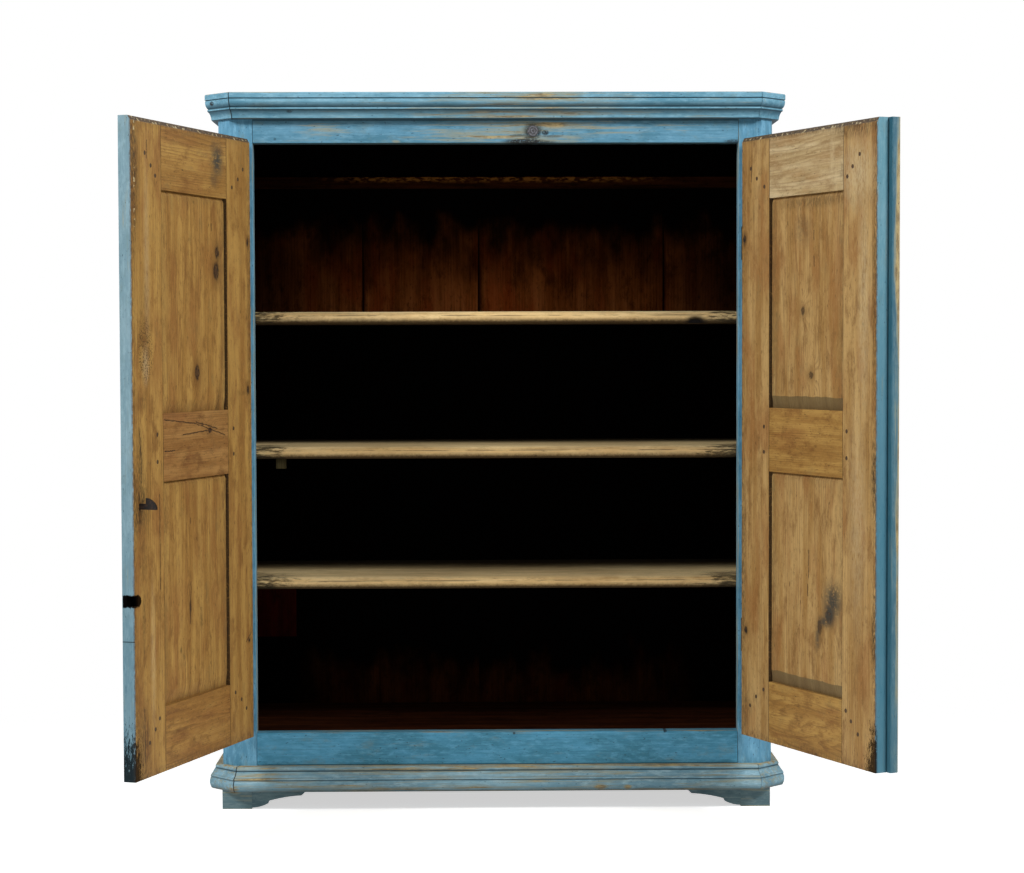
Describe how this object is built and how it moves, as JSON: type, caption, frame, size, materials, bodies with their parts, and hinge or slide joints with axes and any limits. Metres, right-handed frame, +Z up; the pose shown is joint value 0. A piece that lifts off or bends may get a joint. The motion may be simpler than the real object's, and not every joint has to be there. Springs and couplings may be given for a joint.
{
  "type": "kas cupboard",
  "caption": "Painted pine cupboard with canted corners, stepped cornice and base mouldings, open shelves inside and framed doors on pin hinges.",
  "frame": {"origin": "on the floor, under the centre of the outer box of the cupboard with both doors standing open", "axes": "+Z up; +Y from the doors to the back boards; +X to the right as one faces the shelves"},
  "size_m": [1.6089, 1.0408, 1.647],
  "materials": {
    "blue_paint": "worn matte milk paint",
    "aged_pine": "bare, waxed and worn",
    "dark_pine": "bare, darkened with age",
    "forged_iron": "dark, dull"
  },
  "bodies": {
    "carcass": {"back_batten": "dark_pine", "back_board_1": "dark_pine", "back_board_2": "dark_pine", "back_board_3": "dark_pine", "back_board_4": "dark_pine", "back_patch_board": "dark_pine", "base_front": "blue_paint", "base_left_cant": "blue_paint", "base_left_return": "blue_paint", "base_right_cant": "blue_paint", "base_right_return": "blue_paint", "bottom_frame_rail": "blue_paint", "cornice_front": "blue_paint", "cornice_left_cant": "blue_paint", "cornice_left_return": "blue_paint", "cornice_right_cant": "blue_paint", "cornice_right_return": "blue_paint", "front_floor_board": "dark_pine", "front_left_foot": "blue_paint", "front_right_foot": "blue_paint", "front_top_board": "dark_pine", "high_shelf": "aged_pine", "left_bracket": "blue_paint", "left_frame_hinges": "forged_iron", "left_post": "blue_paint", "left_side_board": "blue_paint", "low_shelf": "aged_pine", "middle_shelf": "aged_pine", "rear_floor_board": "dark_pine", "rear_left_foot": "dark_pine", "rear_right_foot": "dark_pine", "rear_top_board": "dark_pine", "right_bracket": "blue_paint", "right_frame_hinges": "forged_iron", "right_post": "blue_paint", "right_side_board": "blue_paint", "shelf_block": "aged_pine", "top_frame_rail": "blue_paint"},
    "left_door": {"left_door_bottom_rail": "aged_pine", "left_door_hinge_stile": "aged_pine", "left_door_hinges": "forged_iron", "left_door_iron_catch": "forged_iron", "left_door_lower_panel": "aged_pine", "left_door_meeting_stile": "aged_pine", "left_door_middle_rail": "aged_pine", "left_door_pegs": "aged_pine", "left_door_top_rail": "aged_pine", "left_door_upper_panel": "aged_pine"},
    "right_door": {"right_door_bottom_rail": "aged_pine", "right_door_cover_strip": "blue_paint", "right_door_hinge_stile": "aged_pine", "right_door_hinges": "forged_iron", "right_door_lower_panel": "aged_pine", "right_door_meeting_stile": "aged_pine", "right_door_middle_rail": "aged_pine", "right_door_pegs": "aged_pine", "right_door_top_rail": "aged_pine", "right_door_upper_panel": "aged_pine"}
  },
  "joints": [
    {"name": "left_door_hinge", "type": "hinge", "parent": "carcass", "child": "left_door", "pos_m": [-0.5989, 0.0394, 0.853], "axis": [0, 0, -1], "range_deg": [-109, 21]},
    {"name": "right_door_hinge", "type": "hinge", "parent": "carcass", "child": "right_door", "pos_m": [0.5391, 0.0394, 0.853], "axis": [0, 0, 1], "range_deg": [-114.5, 15.5]}
  ]
}
